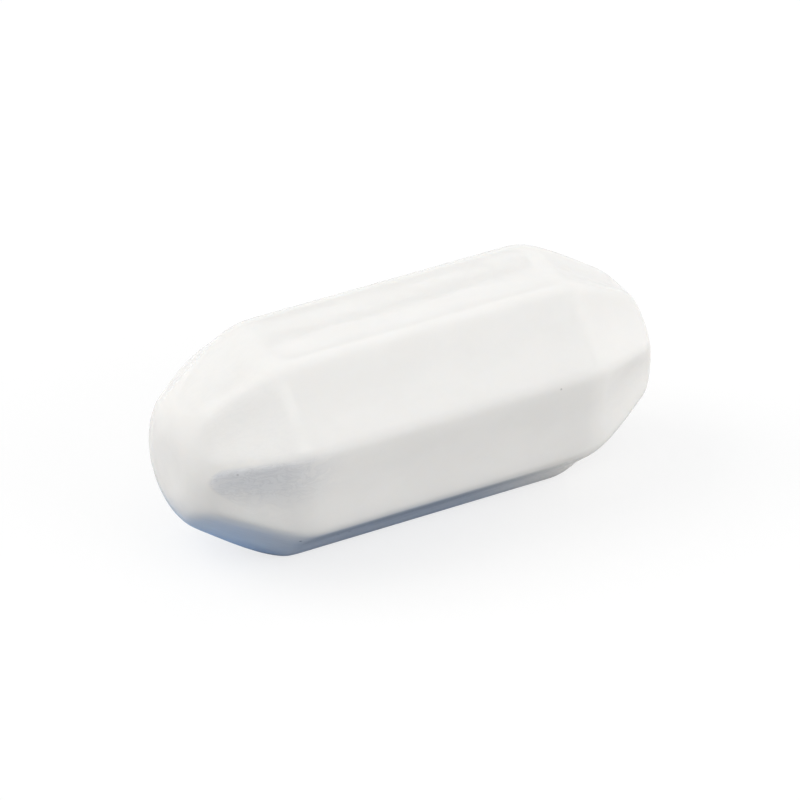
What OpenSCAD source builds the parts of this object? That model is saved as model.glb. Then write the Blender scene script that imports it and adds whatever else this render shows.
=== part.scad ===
// Magnetic stir bar without a pivot ring: a rod magnet sealed inside a moulded PTFE jacket.
// The jacket has eight hollow sides between soft round ridges. Each side ends in a sloping,
// hollow facet, and each end closes in a small flat face with a large round rim.
// Millimetres. The bar lies on one side along X with +Z up, and the origin is on the
// resting plane below the middle of the bar.

/* [Bar] */
// Length over the two end faces
bar_length = 15; // [12:0.5:25]
// Diameter over the crowns of the ridges, before their crowns are softened
ridge_d = 7; // [6:0.1:9]
// Number of hollow sides, even so that the bar rests on one of them
side_count = 8; // [6, 8, 10]
// Width of the round crown that is left between two hollow sides
crown_w = 0.45; // [0.3:0.05:0.9]
// Depth of a hollow side below the straight line between its two edges
hollow_depth = 0.13; // [0.06:0.01:0.2]

/* [Ends] */
// Length of an end facet along the bar, measured back from the end face
facet_length = 2.8; // [2.2:0.1:3.6]
// Slope of an end facet against the axis of the bar
facet_angle = 32; // [26:1:37]
// Share of its drop that a facet doesn't take along its middle line
facet_crown = 0.08; // [0:0.01:0.16]
// Length of the taper of the ridges, measured back from the end face
taper_length = 2.45; // [2:0.05:3]
// Slope of the tapered ridges against the axis of the bar
taper_angle = 37.5; // [31:0.5:42]
// Diameter of the flat face in the middle of each end
end_face_d = 1.4; // [0.8:0.1:2.4]

/* [Softness of the moulded edges] */
// Blend between a crown and the hollow sides beside it, along the middle of the bar
crown_soft = 0.42; // [0.1:0.02:0.6]
// The same blend where the ridges reach the end faces
rim_soft = 0.18; // [0.06:0.02:0.4]
// Blend between two hollow sides under the crown that parts them
ridge_soft = 0.32; // [0.1:0.02:0.5]
// Blend between a hollow side and the facet at its end
facet_soft = 0.24; // [0.1:0.02:0.5]
// Blend between a straight ridge and its taper
taper_soft = 0.8; // [0.4:0.05:1.2]

/* [Magnet] */
// PTFE between the magnet and each end face
end_wall = 2.5; // [1.8:0.1:4]
// PTFE between the magnet and the bottom of a hollow side
side_wall = 1.2; // [0.8:0.05:1.8]
// Moulding clearance all round the magnet
magnet_gap = 0.01; // [0.005:0.005:0.05]
// Chamfer at both ends of the magnet
magnet_chamfer = 0.2; // [0.1:0.05:0.5]

/* [Smoothness] */
// Strips across half of a hollow side
half_side_steps = 7; // [4:1:8]
// Rings of points along each end
end_steps = 20; // [12:1:22]

/* [Hidden] */
$fn = 96;

half_length = bar_length / 2;
ridge_r = ridge_d / 2;
side_pitch = 360 / side_count;
half_pitch = side_pitch / 2;

// A hollow side is an arc through its two edges, which lie on the ridge diameter.
edge_angle = half_pitch - asin(crown_w / ridge_d);
edge_half_w = ridge_r * sin(edge_angle);
side_height = ridge_r * cos(edge_angle) - hollow_depth;
hollow_r = (pow(edge_half_w, 2) + pow(hollow_depth, 2)) / (2 * hollow_depth);

// The rim is an arc that meets the tapered ridges and the flat end face tangentially.
taper_end_r = ridge_r - taper_length * tan(taper_angle);
rim_r = (taper_end_r - end_face_d / 2) / tan((90 - taper_angle) / 2);
rim_centre_x = half_length - rim_r;
rim_start_x = rim_centre_x + rim_r * sin(taper_angle);

// Each shaped end starts where the first of its blends starts.
facet_zone = facet_length + facet_soft / tan(facet_angle);
taper_zone = taper_length + taper_soft / tan(taper_angle);
end_zone = max(facet_zone, taper_zone);

magnet_r = side_height - side_wall;
magnet_half = half_length - end_wall;

// Smaller of two radii, blended where they differ by less than the given width.
function soft_min(a, b, width) =
    let (near = max(width - abs(a - b), 0) / width)
    min(a, b) - near * near * width / 4;

// Radius of a hollow arc of radius r whose bottom is at the given height above the axis,
// at an angle measured from the middle of the side.
function hollow(height, r, angle) =
    let (centre = height + r)
    centre * cos(angle) - sqrt(max(r * r - pow(centre * sin(angle), 2), 0));

// How far a side has sunk at a station x >= 0: nothing along the middle part of the bar.
function facet_drop(x) =
    -soft_min(0, (half_length - facet_length - x) * tan(facet_angle), facet_soft);

// Two neighbouring hollow sides, blended where they meet and sunk along their end facets.
function side_radius(x, angle) =
    let (crown = facet_crown * (1 - pow(angle / half_pitch, 2)))
    soft_min(
        hollow(side_height, hollow_r, angle),
        hollow(side_height, hollow_r, side_pitch - angle),
        ridge_soft
    ) - facet_drop(x) * (1 - crown);

// Rises smoothly from 0 to 1 while t does.
function smooth_step(t) = t * t * (3 - 2 * t);

// Blend between crown and sides at a station: it gets tighter along the end facets.
function crown_blend(x) =
    let (t = min(max((x - half_length + facet_length) / facet_length, 0), 1))
    crown_soft + (rim_soft - crown_soft) * smooth_step(t);

// The turned form that holds the crowns, the tapered ridges and the round rim.
function envelope_radius(x) =
    x > rim_start_x
    ? end_face_d / 2 + sqrt(max(rim_r * rim_r - pow(x - rim_centre_x, 2), 0))
    : soft_min(
        ridge_r,
        taper_end_r + (half_length - x) * tan(taper_angle),
        taper_soft
    );

// Radius of the finished skin at a station x >= 0 and an angle from the middle of a side.
function skin_radius(x, angle) =
    soft_min(side_radius(x, angle), envelope_radius(x), crown_blend(x));

// Angles across one side, closer together towards the ridges.
side_angles = [
    for (step = [1 - half_side_steps : half_side_steps])
    half_pitch * sin(90 * step / half_side_steps)
];

// Stations along one end, closer together towards the end face.
end_stations = [
    for (step = [0 : end_steps])
    half_length - end_zone * (1 - sin(90 * step / end_steps))
];
stations = concat(
    [for (step = [end_steps : -1 : 0]) -end_stations[step]],
    end_stations
);

// Height of the axis above the plane that the two lowest ridges rest on.
axis_height = max([for (angle = side_angles) skin_radius(0, abs(angle)) * cos(angle)]);

// Closed cross-section of the skin at station x.
function skin_ring(x) = [
    for (side = [0 : side_count - 1], angle = side_angles)
    let (r = skin_radius(abs(x), abs(angle)), turn = side * side_pitch + angle)
    [x, r * sin(turn), axis_height + r * cos(turn)]
];

// Outer form of the jacket: the cross-sections joined along the bar and closed by flat ends.
module jacket_skin() {
    ring_size = side_count * len(side_angles);
    last = len(stations) - 1;
    points = [for (x = stations) each skin_ring(x)];
    walls = [
        for (row = [0 : last - 1], i = [0 : ring_size - 1])
        let (
            a = row * ring_size + i,
            b = row * ring_size + (i + 1) % ring_size,
            c = b + ring_size,
            d = a + ring_size
        )
        each [[a, b, c], [a, c, d]]
    ];
    first_face = [for (i = [ring_size - 1 : -1 : 0]) i];
    last_face = [for (i = [0 : ring_size - 1]) last * ring_size + i];
    polyhedron(points, concat([first_face], walls, [last_face]));
}

// Chamfered rod along the axis of the bar, grown on every side by the given amount.
module magnet_rod(grow) {
    r = magnet_r + grow;
    half = magnet_half + grow;
    profile = [
        [0, -half],
        [r - magnet_chamfer, -half],
        [r, magnet_chamfer - half],
        [r, half - magnet_chamfer],
        [r - magnet_chamfer, half],
        [0, half]
    ];
    translate([0, 0, axis_height])
    rotate([0, 90, 0])
    rotate_extrude()
    polygon(profile);
}

// Seamless moulded jacket with the sealed pocket that holds the magnet.
module ptfe_jacket() {
    color("white")
    difference() {
        jacket_skin();
        magnet_rod(magnet_gap);
    }
}

// Rod magnet, magnetised along its length.
module bar_magnet() {
    color("dimgray")
    magnet_rod(0);
}

ptfe_jacket();
bar_magnet();
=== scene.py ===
"""Looks of the magnetic stir bar: its moulded PTFE jacket, materials, soft studio light and camera."""
from math import asin, cos, pi, radians, sin, tan

import bpy
import numpy as np
from mathutils import Matrix, Vector


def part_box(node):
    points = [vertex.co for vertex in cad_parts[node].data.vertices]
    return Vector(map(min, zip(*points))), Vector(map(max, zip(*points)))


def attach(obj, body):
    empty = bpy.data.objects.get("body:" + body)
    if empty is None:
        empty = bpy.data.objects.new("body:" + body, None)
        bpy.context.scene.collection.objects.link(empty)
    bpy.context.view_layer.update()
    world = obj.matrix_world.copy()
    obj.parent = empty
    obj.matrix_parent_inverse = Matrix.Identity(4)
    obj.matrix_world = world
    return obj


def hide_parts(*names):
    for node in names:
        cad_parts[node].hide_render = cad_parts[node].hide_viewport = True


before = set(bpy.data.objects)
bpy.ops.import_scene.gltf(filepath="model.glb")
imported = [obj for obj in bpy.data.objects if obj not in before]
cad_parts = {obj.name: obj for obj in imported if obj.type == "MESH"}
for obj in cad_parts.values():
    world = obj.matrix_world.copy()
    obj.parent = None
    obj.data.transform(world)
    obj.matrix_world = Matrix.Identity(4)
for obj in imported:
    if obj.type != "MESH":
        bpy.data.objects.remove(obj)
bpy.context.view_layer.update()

# Lengths are in millimetres, and turn into Blender's metres where an object is made.
MM = 0.001

# Form of the jacket, as in the part's source, in millimetres and degrees.
BAR_LENGTH = 15.0
RIDGE_D = 7.0
SIDES = 8
CROWN_W = 0.45
HOLLOW_DEPTH = 0.13
FACET_LENGTH = 2.8
FACET_ANGLE = 32.0
FACET_CROWN = 0.08
TAPER_LENGTH = 2.45
TAPER_ANGLE = 37.5
END_FACE_D = 1.4
CROWN_SOFT = 0.42
RIM_SOFT = 0.18
RIDGE_SOFT = 0.32
FACET_SOFT = 0.24
TAPER_SOFT = 0.8

# What the source leaves out. The middle part of the sides sits a little towards -X.
FACET_SHIFT = 0.15

# The lower front side has a flat, deeper end facet at -X: its angle round the bar from the top, the
# distance from the middle of the bar at which it starts, its slope, the width of the blend at its
# border, and how far it reaches round the bar to either hand.
DEEP_SIDE = -140.0
DEEP_START = 4.9
DEEP_ANGLE = 34.0
DEEP_SOFT = 0.14
DEEP_REACH = 60.0

# Values that follow from the form.
HALF_LENGTH = BAR_LENGTH / 2
RIDGE_R = RIDGE_D / 2
SIDE_PITCH = 2 * pi / SIDES
HALF_PITCH = SIDE_PITCH / 2
EDGE_ANGLE = HALF_PITCH - asin(CROWN_W / RIDGE_D)
EDGE_HALF_W = RIDGE_R * sin(EDGE_ANGLE)
SIDE_HEIGHT = RIDGE_R * cos(EDGE_ANGLE) - HOLLOW_DEPTH
HOLLOW_R = (EDGE_HALF_W**2 + HOLLOW_DEPTH**2) / (2 * HOLLOW_DEPTH)
FACET_SLOPE = tan(radians(FACET_ANGLE))
TAPER_SLOPE = tan(radians(TAPER_ANGLE))
TAPER_END_R = RIDGE_R - TAPER_LENGTH * TAPER_SLOPE
RIM_R = (TAPER_END_R - END_FACE_D / 2) / tan(radians(90 - TAPER_ANGLE) / 2)
RIM_CENTRE_X = HALF_LENGTH - RIM_R
RIM_START_X = RIM_CENTRE_X + RIM_R * sin(radians(TAPER_ANGLE))
END_ZONE = max(FACET_LENGTH + FACET_SOFT / FACET_SLOPE, TAPER_LENGTH + TAPER_SOFT / TAPER_SLOPE)
BEYOND_SKIN = 2 * RIDGE_R
jacket_low, jacket_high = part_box("ptfe_jacket")
AXIS_HEIGHT = (jacket_high[2] - jacket_low[2]) / 2 / MM

# Fineness of the jacket's mesh, and how strongly its points crowd towards the ridges and the ends.
HALF_SIDE_STEPS = 16
END_STEPS = 120
MIDDLE_STEPS = 110
CAP_STEPS = 12
RIDGE_CROWDING = 0.5
END_CROWDING = 0.55

# Camera: its direction from the bar, its roll and its distance, and then its framing, which is the
# scale at the bar, the pixel that the bar's middle falls on, the frame's width and the sensor's.
CAMERA_AZIMUTH = -31.05
CAMERA_ELEVATION = 32.60
CAMERA_ROLL = -1.73
CAMERA_DISTANCE = 205.3
PIXELS_PER_MM = 35.452
CENTRE_PX = (402.32, 399.05)
FRAME_PX = 800
SENSOR_W = 36.0

# Light from all round: its level and its tint.
WORLD_LEVEL = 0.60
WORLD_TINT = (0.975, 1.0, 1.02, 1)

# Floor as the camera sees it: pale, and lifted to white by a glow that lights nothing else.
FLOOR_HALF_W = 1500.0
FLOOR_PALE_TONE = (0.95, 0.95, 0.95, 1)
FLOOR_GLOW = 1.05
FLOOR_GLOW_SHARE = 0.68

# Floor as the bar sees it: painted shade, dark and bluish, in an area below the bar, bluer towards -X.
# Beyond it the floor throws back a middling grey light, and is mirrored as pale.
FLOOR_PAINTED_SHADE_TONE = (0.15, 0.24, 0.395, 1)
FLOOR_PAINTED_BLUE_SHADE_TONE = (0.15, 0.345, 0.65, 1)
FLOOR_BOUNCE_TONE = (0.335, 0.334, 0.332, 1)

# The painted shade's middle, its width as a share of its length, and the distances and the stations
# between which its tones turn into each other.
FLOOR_NEAR_X = -2.3
FLOOR_NEAR_SHAPE = 0.7
FLOOR_NEAR_EDGE = (2.5, 5.6)
FLOOR_BLUE_EDGE = (-4.8, -6.2)

# What the skin mirrors: white walls and a white ceiling, parted by a narrow dark gap, whose borders
# and softness are in degrees above the floor.
MIRRORED_LEVEL = 1.0
GAP_LEVEL = 0.0
GAP_FROM = 31.2
GAP_TO = 35.0
GAP_SOFT = 1.5

# Soft square lamps that face the bar: azimuth and elevation in degrees, and watts.
LAMPS = {
    "front_lamp": (35, 20, 0.62),
    "right_lamp": (95, 12, 0.35),
    "left_lamp": (-120, 45, 0.54),
    "low_left_lamp": (-120, 15, 0.39),
}
LAMP_DISTANCE = 400.0
LAMP_SIZE = 300.0
LAMP_TINT = (1.0, 0.97, 0.935)

# A smaller lamp that only shows as a soft glint on the skin: azimuth, elevation, watts and size.
GLINT_LAMP = (-8, 43, 0.11)
GLINT_SIZE = 150.0

# Noise: its middle value, and the range that holds most of its values.
NOISE_MIDDLE = 0.5
NOISE_RANGE = (0.3, 0.7)

# Moulded PTFE: its gloss, how much light goes into it, and how deep each colour of it goes.
PTFE_IOR = 1.45
PTFE_ROUGHNESS = (0.1, 0.15)
SUBSURFACE_WEIGHT = 0.3
SUBSURFACE_TINT = (1.0, 0.9, 0.8)
SUBSURFACE_DEPTH = 0.3

# Its two tones of white, the slow wave of its surface and its fine grain. A scale is in repeats per
# millimetre along each axis, and a height is in millimetres.
PTFE_PALE = (0.945, 0.93, 0.908, 1)
PTFE_DEEP = (0.925, 0.911, 0.89, 1)
MOTTLE_SCALE = (0.5, 0.8, 0.8)
MOTTLE_DETAIL = 4.0
MOTTLE_RANGE = (0.35, 0.65)
WAVE_SCALE = (0.55, 0.9, 0.9)
WAVE_DETAIL = 2.0
WAVE_HEIGHT = 0.02
GRAIN_SCALE = (11, 11, 11)
GRAIN_DETAIL = 2.0
GRAIN_HEIGHT = 0.0012

# Streaks along the bar, in repeats per millimetre along it and per radian round it. Where the skin is
# marked they stand out in relief and as lines, which run where their noise is near its middle value,
# and the skin is rougher. Elsewhere only a little of their relief is left.
STREAKS_ALONG = 1.8
STREAKS_ROUND = 12
STREAK_DETAIL = 3.0
STREAK_ROUGHNESS = 0.6
STREAK_DISTORTION = 1.2
STREAK_TONE = (0.62, 0.63, 0.66, 1)
STREAK_LINE = (0.05, 0.015)
STREAK_STRENGTH = 0.3
STREAK_HEIGHT = 0.02
STREAK_RELIEF_ELSEWHERE = 0.05
MARKED_ROUGHNESS = 0.25

# Faint marks on all the end facets at -X: their share, and the stations where they come and go.
END_MARKS = 0.12
END_MARKS_INNER = (-4.0, -5.6)
END_MARKS_OUTER = (-7.2, -6.8)

# Painted shade on the front end facet at -X, darkest towards its top and torn by the streaks. Each
# border runs from no shade to full shade. The tip and the tail are stations. The top, the foot and the
# side are parts of the direction from the axis, upwards or along Y.
PAINTED_SHADE_TONE = (0.735, 0.755, 0.80, 1)
PAINTED_SHADE_STRENGTH = 0.68
PAINTED_SHADE_TIP = (-7.24, -7.06)
PAINTED_SHADE_TAIL = (-3.3, -6.0)
PAINTED_SHADE_TOP = (0.42, 0.33)
PAINTED_SHADE_FOOT = (-0.25, 0.28)
PAINTED_SHADE_SIDE = (0.0, -0.5)

# The tip bends back above and below one height, and the streaks tear the tail and the foot.
PAINTED_SHADE_TIP_RISE = 0.2
PAINTED_SHADE_TIP_CURVE = 6.0
PAINTED_SHADE_TEAR_X = 1.8
PAINTED_SHADE_TEAR_RISE = 0.24

# Pits in the skin: station, angle round the bar from the top, radius, and how dark. Each is evenly
# dark up to a share of its radius.
PITS = [
    (-0.67, 23.0, 0.045, 0.3),
    (3.25, -70.0, 0.045, 0.35),
    (-6.55, -71.8, 0.05, 0.3),
    (-4.80, -122.2, 0.06, 0.85),
    (-3.33, -134.0, 0.05, 0.8),
    (-2.95, -135.0, 0.05, 0.8),
]
PIT_TONE = (0.12, 0.12, 0.13, 1)
PIT_CORE = 0.3

# Magnet: two tones of ground Alnico, its gloss, and its grinding lines round the rod, in repeats per
# millimetre along it and per radian round it.
ALNICO_PALE = (0.60, 0.585, 0.565, 1)
ALNICO_DEEP = (0.48, 0.465, 0.45, 1)
ALNICO_ROUGHNESS = (0.26, 0.44)
ALNICO_SCALE = (1.5, 1.5, 1.5)
ALNICO_DETAIL = 4.0
GRIND_ALONG = 22
GRIND_ROUND = 2
GRIND_DETAIL = 4.0
GRIND_ROUGHNESS = 0.7
GRIND_HEIGHT = 0.004


def soft_min(a, b, width):
    """Smaller of two radii, blended where they differ by less than the width."""
    near = np.maximum(width - abs(a - b), 0) / width
    return np.minimum(a, b) - near * near * width / 4


def hollow(height, r, angle):
    """Radius of a hollow arc whose bottom is at a height above the axis."""
    centre = height + r
    return centre * np.cos(angle) - np.sqrt(np.maximum(r * r - (centre * np.sin(angle)) ** 2, 0))


def facet_drop(x):
    """How far a side has sunk at a station, from nothing along its middle part."""
    run = (x - HALF_LENGTH + FACET_LENGTH) * FACET_SLOPE
    return -soft_min(np.zeros_like(run), -run, FACET_SOFT)


def smooth_step(t):
    """Rises smoothly from 0 to 1 while t does."""
    return t * t * (3 - 2 * t)


def crown_blend(x):
    """Blend between crown and sides at a station: it gets tighter along the end facets."""
    t = np.clip((x - HALF_LENGTH + FACET_LENGTH) / FACET_LENGTH, 0, 1)
    return CROWN_SOFT + (RIM_SOFT - CROWN_SOFT) * smooth_step(t)


def envelope_radius(x):
    """The turned form that holds the crowns, the tapered ridges and the round rim."""
    ridge = soft_min(RIDGE_R, TAPER_END_R + (HALF_LENGTH - x) * TAPER_SLOPE, TAPER_SOFT)
    rim = END_FACE_D / 2 + np.sqrt(np.maximum(RIM_R**2 - (x - RIM_CENTRE_X) ** 2, 0))
    return np.where(x > RIM_START_X, rim, ridge)


def deep_facet(x, turn):
    """Radius of the flat end facet that is cut deeper, and a radius beyond the skin elsewhere."""
    height = SIDE_HEIGHT + (x + DEEP_START) * tan(radians(DEEP_ANGLE))
    lean = np.cos(turn - radians(DEEP_SIDE))
    least = cos(radians(DEEP_REACH))
    return np.where(lean > least, height / np.maximum(lean, least), BEYOND_SKIN)


def skin_radius(x, turn):
    """Radius of the skin at a station along the bar and an angle round it from the top."""
    deep = deep_facet(x, turn)
    facet_x = abs(x) + np.sign(x) * FACET_SHIFT
    x = abs(x)
    angle = abs((turn + HALF_PITCH) % SIDE_PITCH - HALF_PITCH)
    near_side = hollow(SIDE_HEIGHT, HOLLOW_R, angle)
    next_side = hollow(SIDE_HEIGHT, HOLLOW_R, SIDE_PITCH - angle)
    crown = FACET_CROWN * (1 - (angle / HALF_PITCH) ** 2)
    sides = soft_min(near_side, next_side, RIDGE_SOFT) - facet_drop(facet_x) * (1 - crown)
    sides = soft_min(sides, deep, DEEP_SOFT)
    return soft_min(sides, envelope_radius(x), crown_blend(x))


def crowd(u, share):
    """Moves evenly spaced values closer together towards 1, and towards -1."""
    return (1 - share) * u + share * np.sin(pi / 2 * u)


def ring_turns():
    """Angles round the bar, closer together towards the ridges."""
    u = np.arange(1 - HALF_SIDE_STEPS, HALF_SIDE_STEPS + 1) / HALF_SIDE_STEPS
    across = HALF_PITCH * crowd(u, RIDGE_CROWDING)
    return np.concatenate([side * SIDE_PITCH + across for side in range(SIDES)])


def stations():
    """Stations along the bar, closer together towards the end faces."""
    inner = HALF_LENGTH - END_ZONE
    middle = np.linspace(-inner, inner, MIDDLE_STEPS + 1)
    u = np.linspace(0, 1, END_STEPS + 1)[1:]
    end = inner + END_ZONE * crowd(u, END_CROWDING)
    return np.concatenate([-end[::-1], middle, end])


def jacket_points():
    """Rings of points over the skin, from round the middle of one end face to round the other's."""
    x, turn = np.meshgrid(stations(), ring_turns(), indexing="ij")
    r = skin_radius(x, turn)
    rings = np.stack([x, r * np.sin(turn), AXIS_HEIGHT + r * np.cos(turn)], axis=-1)
    shrink = np.linspace(1, 0, CAP_STEPS + 1)[1:-1]

    def cap(ring):
        centre = np.array([ring[0, 0], 0.0, AXIS_HEIGHT])
        return [centre + (ring - centre) * s for s in shrink]

    low_cap = np.array(cap(rings[0])[::-1])
    high_cap = np.array(cap(rings[-1]))
    return np.concatenate([low_cap, rings, high_cap])


def add_object(name, data):
    """An object in the scene."""
    made = bpy.data.objects.new(name, data)
    bpy.context.scene.collection.objects.link(made)
    return made


def build_jacket():
    """The jacket's skin as one closed mesh."""
    rings = jacket_points()
    count, size = rings.shape[:2]
    points = rings.reshape(-1, 3)
    low_centre = len(points)
    high_centre = low_centre + 1
    ends = np.array([[-HALF_LENGTH, 0, AXIS_HEIGHT], [HALF_LENGTH, 0, AXIS_HEIGHT]])
    points = np.concatenate([points, ends]) * MM
    i = np.arange(size)
    j = (i + 1) % size
    faces = []
    for row in range(count - 1):
        a, b = row * size + i, row * size + j
        faces += np.stack([a, a + size, b + size, b], axis=1).tolist()
    faces += np.stack([i, j, np.full(size, low_centre)], axis=1).tolist()
    last = (count - 1) * size
    faces += np.stack([last + j, last + i, np.full(size, high_centre)], axis=1).tolist()
    mesh = bpy.data.meshes.new("jacket_skin")
    mesh.from_pydata(points.tolist(), [], faces)
    mesh.polygons.foreach_set("use_smooth", [True] * len(mesh.polygons))
    mesh.update()
    return add_object("jacket_skin", mesh)


def feed(tree, node, inputs):
    """Sets inputs of a node, or links them where the value is another node's socket."""
    for name, value in inputs.items():
        if isinstance(value, bpy.types.NodeSocket):
            tree.links.new(value, node.inputs[name])
        else:
            node.inputs[name].default_value = value


def add_node(tree, kind, inputs, **settings):
    """A node of a kind, with its settings and its inputs."""
    made = tree.nodes.new(kind)
    for name, value in settings.items():
        setattr(made, name, value)
    feed(tree, made, inputs)
    return made


def new_material(name):
    """A material, its node tree and its surface shader."""
    material = bpy.data.materials.new(name)
    material.use_nodes = True
    tree = material.node_tree
    return material, tree, tree.nodes["Principled BSDF"]


def vector_math(tree, operation, *values):
    """A Vector Math node over vectors, each a socket or a tuple."""
    made = add_node(tree, "ShaderNodeVectorMath", dict(enumerate(values)), operation=operation)
    return made.outputs["Value" if operation == "LENGTH" else "Vector"]


def combine(tree, operation, *values):
    """A Math node over values, each a socket or a number."""
    return add_node(tree, "ShaderNodeMath", dict(enumerate(values)), operation=operation).outputs[0]


def product(tree, *values):
    """All the values multiplied."""
    result = values[0]
    for value in values[1:]:
        result = combine(tree, "MULTIPLY", result, value)
    return result


def split(tree, vector):
    """The three parts of a vector."""
    return add_node(tree, "ShaderNodeSeparateXYZ", {"Vector": vector}).outputs


def bar_space(tree, stretch=(1, 1, 1)):
    """The bar's own coordinates in millimetres, stretched along its axes."""
    place = add_node(tree, "ShaderNodeTexCoord", {}).outputs["Object"]
    return vector_math(tree, "MULTIPLY", place, tuple(s / MM for s in stretch))


def outward(tree):
    """The direction from the bar's axis to a point of its skin."""
    from_axis = vector_math(tree, "SUBTRACT", bar_space(tree, (0, 1, 1)), (0, 0, AXIS_HEIGHT))
    return vector_math(tree, "NORMALIZE", from_axis)


def skin_space(tree, along, around):
    """Coordinates along the bar and round it, so that streaks along the bar also follow its slopes."""
    lengthwise = bar_space(tree, (along, 0, 0))
    return vector_math(tree, "MULTIPLY_ADD", outward(tree), (around,) * 3, lengthwise)


def noise(tree, space, detail, roughness=0.55, distortion=0.0):
    """Smooth random values over some coordinates."""
    inputs = {
        "Vector": space,
        "Scale": 1.0,
        "Detail": detail,
        "Roughness": roughness,
        "Distortion": distortion,
    }
    return add_node(tree, "ShaderNodeTexNoise", inputs).outputs["Fac"]


def spread(tree, value, low, high, to_low=0.0, to_high=1.0):
    """Maps a range of a value smoothly onto another range."""
    inputs = {
        "Value": value,
        "From Min": low,
        "From Max": high,
        "To Min": to_low,
        "To Max": to_high,
    }
    made = add_node(tree, "ShaderNodeMapRange", inputs, interpolation_type="SMOOTHSTEP")
    return made.outputs["Result"]


def blend(tree, share, a, b):
    """Mixes two colours, each a socket or a tuple."""
    made = add_node(tree, "ShaderNodeMix", {"Factor": share}, data_type="RGBA")
    colours = [i for i, socket in enumerate(made.inputs) if socket.type == "RGBA"]
    feed(tree, made, dict(zip(colours, (a, b))))
    return [socket for socket in made.outputs if socket.type == "RGBA"][0]


def bump(tree, height, distance, below=None):
    """A bump of some millimetres, on top of another if there is one."""
    inputs = {"Strength": 1.0, "Distance": distance * MM, "Height": height}
    if below is not None:
        inputs["Normal"] = below
    return add_node(tree, "ShaderNodeBump", inputs).outputs[0]


def painted_shade_share(tree, ragged):
    """1 on the patch of painted shade: crisp at its tip and its top, ragged and fading elsewhere."""
    x = split(tree, bar_space(tree))[0]
    out = split(tree, outward(tree))
    tear = combine(tree, "SUBTRACT", ragged, NOISE_MIDDLE)
    torn_x = combine(tree, "ADD", x, product(tree, tear, PAINTED_SHADE_TEAR_X))
    torn_rise = combine(tree, "ADD", out[2], product(tree, tear, PAINTED_SHADE_TEAR_RISE))
    from_tip = combine(tree, "SUBTRACT", out[2], PAINTED_SHADE_TIP_RISE)
    tip_x = combine(tree, "SUBTRACT", x, product(tree, from_tip, from_tip, PAINTED_SHADE_TIP_CURVE))
    return product(
        tree,
        spread(tree, tip_x, *PAINTED_SHADE_TIP),
        spread(tree, torn_x, *PAINTED_SHADE_TAIL),
        spread(tree, out[2], *PAINTED_SHADE_TOP),
        spread(tree, torn_rise, *PAINTED_SHADE_FOOT),
        spread(tree, out[1], *PAINTED_SHADE_SIDE),
    )


def end_share(tree):
    """1 on the end facets at -X, and 0 on the end face and the bar's middle."""
    x = split(tree, bar_space(tree))[0]
    return product(tree, spread(tree, x, *END_MARKS_INNER), spread(tree, x, *END_MARKS_OUTER))


def pit_share(tree):
    """How dark each pit is, and 0 elsewhere."""
    share = 0.0
    for station, degrees, radius, dark in PITS:
        turn = radians(degrees)
        r = float(skin_radius(np.array(station), np.array(turn)))
        centre = (station, r * sin(turn), AXIS_HEIGHT + r * cos(turn))
        away = vector_math(tree, "SUBTRACT", bar_space(tree), centre)
        distance = vector_math(tree, "LENGTH", away)
        pit = spread(tree, distance, radius, PIT_CORE * radius, 0.0, dark)
        share = combine(tree, "MAXIMUM", pit, share)
    return share


def ptfe_material():
    """Moulded PTFE: waxy white, faintly mottled and waved, streaked at one end, with painted shade on
    one end facet.
    """
    material, tree, shader = new_material("ptfe_white")
    mottle = noise(tree, bar_space(tree, MOTTLE_SCALE), MOTTLE_DETAIL)
    wave = noise(tree, bar_space(tree, WAVE_SCALE), WAVE_DETAIL)
    grain = noise(tree, bar_space(tree, GRAIN_SCALE), GRAIN_DETAIL)
    streak_space = skin_space(tree, STREAKS_ALONG, STREAKS_ROUND)
    streaks = noise(tree, streak_space, STREAK_DETAIL, STREAK_ROUGHNESS, STREAK_DISTORTION)
    painted_shade = painted_shade_share(tree, streaks)
    # The skin is marked by streak lines and roughness on the patch of painted shade, and faintly on
    # all the end facets at -X.
    marked = combine(tree, "MAXIMUM", painted_shade, product(tree, end_share(tree), END_MARKS))
    from_middle = combine(tree, "ABSOLUTE", combine(tree, "SUBTRACT", streaks, NOISE_MIDDLE))
    lines = product(tree, spread(tree, from_middle, *STREAK_LINE), marked)
    clean = blend(tree, spread(tree, mottle, *MOTTLE_RANGE), PTFE_DEEP, PTFE_PALE)
    # Painted shade: a bluish grey laid over the clean white on the front end facet at -X.
    with_painted_shade = blend(tree, product(tree, painted_shade, PAINTED_SHADE_STRENGTH), clean, PAINTED_SHADE_TONE)
    lined = blend(tree, product(tree, lines, STREAK_STRENGTH), with_painted_shade, STREAK_TONE)
    gloss = spread(tree, grain, *NOISE_RANGE, *PTFE_ROUGHNESS)
    relief = product(tree, streaks, combine(tree, "ADD", marked, STREAK_RELIEF_ELSEWHERE))
    streaked = bump(tree, relief, STREAK_HEIGHT, below=bump(tree, wave, WAVE_HEIGHT))
    inputs = {
        "Base Color": blend(tree, pit_share(tree), lined, PIT_TONE),
        "Roughness": combine(tree, "ADD", gloss, product(tree, marked, MARKED_ROUGHNESS)),
        "Normal": bump(tree, grain, GRAIN_HEIGHT, below=streaked),
        "IOR": PTFE_IOR,
        "Subsurface Weight": SUBSURFACE_WEIGHT,
        "Subsurface Radius": SUBSURFACE_TINT,
        "Subsurface Scale": SUBSURFACE_DEPTH * MM,
    }
    feed(tree, shader, inputs)
    return material


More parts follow.
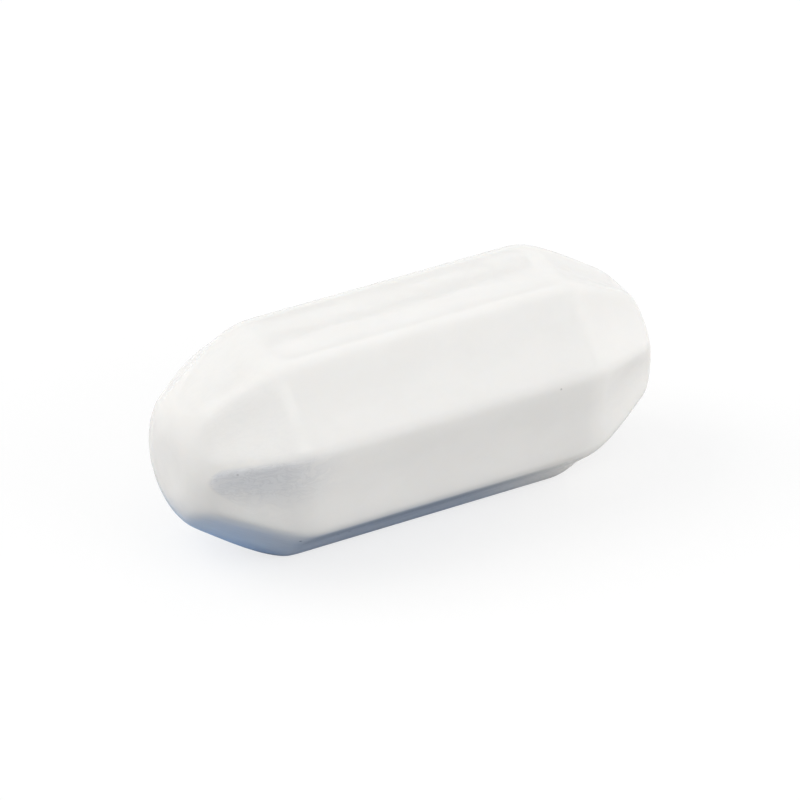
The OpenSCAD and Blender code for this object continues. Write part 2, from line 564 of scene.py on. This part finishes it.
def alnico_material():
    """Ground Alnico: a dull grey metal with fine grinding lines round the rod."""
    material, tree, shader = new_material("alnico_ground")
    tone = noise(tree, bar_space(tree, ALNICO_SCALE), ALNICO_DETAIL)
    lines = noise(tree, skin_space(tree, GRIND_ALONG, GRIND_ROUND), GRIND_DETAIL, GRIND_ROUGHNESS)
    inputs = {
        "Base Color": blend(tree, spread(tree, tone, *NOISE_RANGE), ALNICO_DEEP, ALNICO_PALE),
        "Roughness": spread(tree, lines, *NOISE_RANGE, *ALNICO_ROUGHNESS),
        "Normal": bump(tree, lines, GRIND_HEIGHT),
        "Metallic": 1.0,
    }
    feed(tree, shader, inputs)
    return material


def direction(azimuth, elevation):
    """The direction from the bar at some degrees round it from the front and above the floor."""
    a, e = radians(azimuth), radians(elevation)
    return Vector((sin(a) * cos(e), -cos(a) * cos(e), sin(e)))


def area_lamp(name, azimuth, elevation, power, size=LAMP_SIZE, glint=False):
    """A square soft lamp that faces the bar: it either lights the bar or only shows as a glint."""
    light = bpy.data.lights.new(name, "AREA")
    light.shape = "SQUARE"
    light.size = size * MM
    light.energy = power
    light.color = LAMP_TINT
    lamp = add_object(name, light)
    lamp.visible_glossy = glint
    lamp.visible_diffuse = not glint
    away = direction(azimuth, elevation)
    lamp.location = away * LAMP_DISTANCE * MM
    lamp.rotation_euler = away.to_track_quat("Z", "Y").to_euler()


def build_camera():
    """The camera, aimed so that the middle of the bar falls on its pixel."""
    back = direction(CAMERA_AZIMUTH, CAMERA_ELEVATION)
    a, roll = radians(CAMERA_AZIMUTH), radians(CAMERA_ROLL)
    level = Vector((cos(a), sin(a), 0))
    upright = back.cross(level)
    right = level * cos(roll) - upright * sin(roll)
    up = level * sin(roll) + upright * cos(roll)
    off_right = (FRAME_PX / 2 - CENTRE_PX[0]) / PIXELS_PER_MM
    off_up = (CENTRE_PX[1] - FRAME_PX / 2) / PIXELS_PER_MM
    aim = Vector((0, 0, AXIS_HEIGHT)) + right * off_right + up * off_up
    camera = bpy.data.cameras.new("camera")
    camera.sensor_width = SENSOR_W
    camera.lens = SENSOR_W * CAMERA_DISTANCE * PIXELS_PER_MM / FRAME_PX
    camera.clip_start = MM
    made = add_object("camera", camera)
    place = Matrix((right, up, back)).transposed().to_4x4()
    place.translation = (aim + back * CAMERA_DISTANCE) * MM
    made.matrix_world = place
    bpy.context.scene.camera = made


def light_path(tree):
    """1 for what the camera sees, also through a surface, and 1 for what is mirrored."""
    path = add_node(tree, "ShaderNodeLightPath", {}).outputs
    seen = combine(tree, "MAXIMUM", path["Is Camera Ray"], path["Is Transmission Ray"])
    return seen, path["Is Glossy Ray"]


def mix_shaders(tree, share, a, b):
    """Mixes two shaders by a share, which is a socket or a number."""
    return add_node(tree, "ShaderNodeMixShader", {0: share, 1: a, 2: b}).outputs[0]


def floor_as_seen(tree):
    """The floor as the camera sees it."""
    pale = add_node(tree, "ShaderNodeBsdfDiffuse", {"Color": FLOOR_PALE_TONE})
    glow = add_node(tree, "ShaderNodeEmission", {"Strength": FLOOR_GLOW})
    return mix_shaders(tree, FLOOR_GLOW_SHARE, pale.outputs[0], glow.outputs[0])


def floor_unseen(tree, mirrored):
    """The floor as it throws light back at the bar and shows in its skin, with painted shade below the
    bar.
    """
    place = add_node(tree, "ShaderNodeNewGeometry", {}).outputs["Position"]
    shifted = vector_math(tree, "SUBTRACT", place, (FLOOR_NEAR_X * MM, 0, 0))
    shaped = vector_math(tree, "MULTIPLY", shifted, (FLOOR_NEAR_SHAPE, 1, 1))
    distance = vector_math(tree, "LENGTH", shaped)
    far = spread(tree, distance, *(edge * MM for edge in FLOOR_NEAR_EDGE))
    bluer = spread(tree, split(tree, place)[0], *(edge * MM for edge in FLOOR_BLUE_EDGE))
    # Painted shade below the bar, bluer towards -X, standing in for the bar's shadow on the floor.
    painted_shade_tone = blend(tree, bluer, FLOOR_PAINTED_SHADE_TONE, FLOOR_PAINTED_BLUE_SHADE_TONE)
    far_tone = blend(tree, mirrored, FLOOR_BOUNCE_TONE, FLOOR_PALE_TONE)
    tone = blend(tree, far, painted_shade_tone, far_tone)
    return add_node(tree, "ShaderNodeBsdfDiffuse", {"Color": tone}).outputs[0]


def build_floor():
    """A floor at the height that the bar rests on: plain to the camera, with painted shade below the
    bar for bounced and mirrored rays.
    """
    reach = FLOOR_HALF_W * MM
    corners = [(-reach, -reach, 0), (reach, -reach, 0), (reach, reach, 0), (-reach, reach, 0)]
    mesh = bpy.data.meshes.new("floor")
    mesh.from_pydata(corners, [], [(0, 1, 2, 3)])
    floor = add_object("floor", mesh)
    material, tree, shader = new_material("floor")
    tree.nodes.remove(shader)
    seen, mirrored = light_path(tree)
    surface = mix_shaders(tree, seen, floor_unseen(tree, mirrored), floor_as_seen(tree))
    feed(tree, tree.nodes["Material Output"], {"Surface": surface})
    mesh.materials.append(material)


def surroundings(tree):
    """What the skin mirrors, by its elevation: white walls, a dark gap and a white ceiling."""
    toward = add_node(tree, "ShaderNodeTexCoord", {}).outputs["Generated"]
    levels = add_node(tree, "ShaderNodeValToRGB", {0: split(tree, toward)[2]})
    ramp = levels.color_ramp
    ramp.interpolation = "EASE"
    ramp.elements[0].position = sin(radians(GAP_FROM - GAP_SOFT))
    ramp.elements[1].position = sin(radians(GAP_TO + GAP_SOFT))
    for stop in ramp.elements:
        stop.color = (*[MIRRORED_LEVEL] * 3, 1)
    for elevation in (GAP_FROM, GAP_TO):
        stop = ramp.elements.new(sin(radians(elevation)))
        stop.color = (*[GAP_LEVEL] * 3, 1)
    return levels.outputs[0]


def build_world():
    """Even light for the bar, the surroundings that it mirrors, and white for the camera."""
    world = bpy.data.worlds.new("studio")
    bpy.context.scene.world = world
    world.use_nodes = True
    tree = world.node_tree
    ambient = tree.nodes["Background"]
    feed(tree, ambient, {"Color": WORLD_TINT, "Strength": WORLD_LEVEL})
    walls = add_node(tree, "ShaderNodeBackground", {"Color": surroundings(tree)})
    white = add_node(tree, "ShaderNodeBackground", {"Color": (1, 1, 1, 1)})
    seen, mirrored = light_path(tree)
    unseen = mix_shaders(tree, mirrored, ambient.outputs[0], walls.outputs[0])
    surface = mix_shaders(tree, seen, unseen, white.outputs[0])
    feed(tree, tree.nodes["World Output"], {"Surface": surface})


jacket = build_jacket()
jacket.data.materials.append(ptfe_material())
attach(jacket, "root")
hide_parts("ptfe_jacket")

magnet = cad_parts["bar_magnet"]
for material_slot in magnet.material_slots:
    material_slot.material = alnico_material()

build_world()
build_floor()
for lamp_name, lamp_setting in LAMPS.items():
    area_lamp(lamp_name, *lamp_setting)
area_lamp("glint_lamp", *GLINT_LAMP, size=GLINT_SIZE, glint=True)
build_camera()
bpy.context.scene.view_settings.view_transform = "Standard"
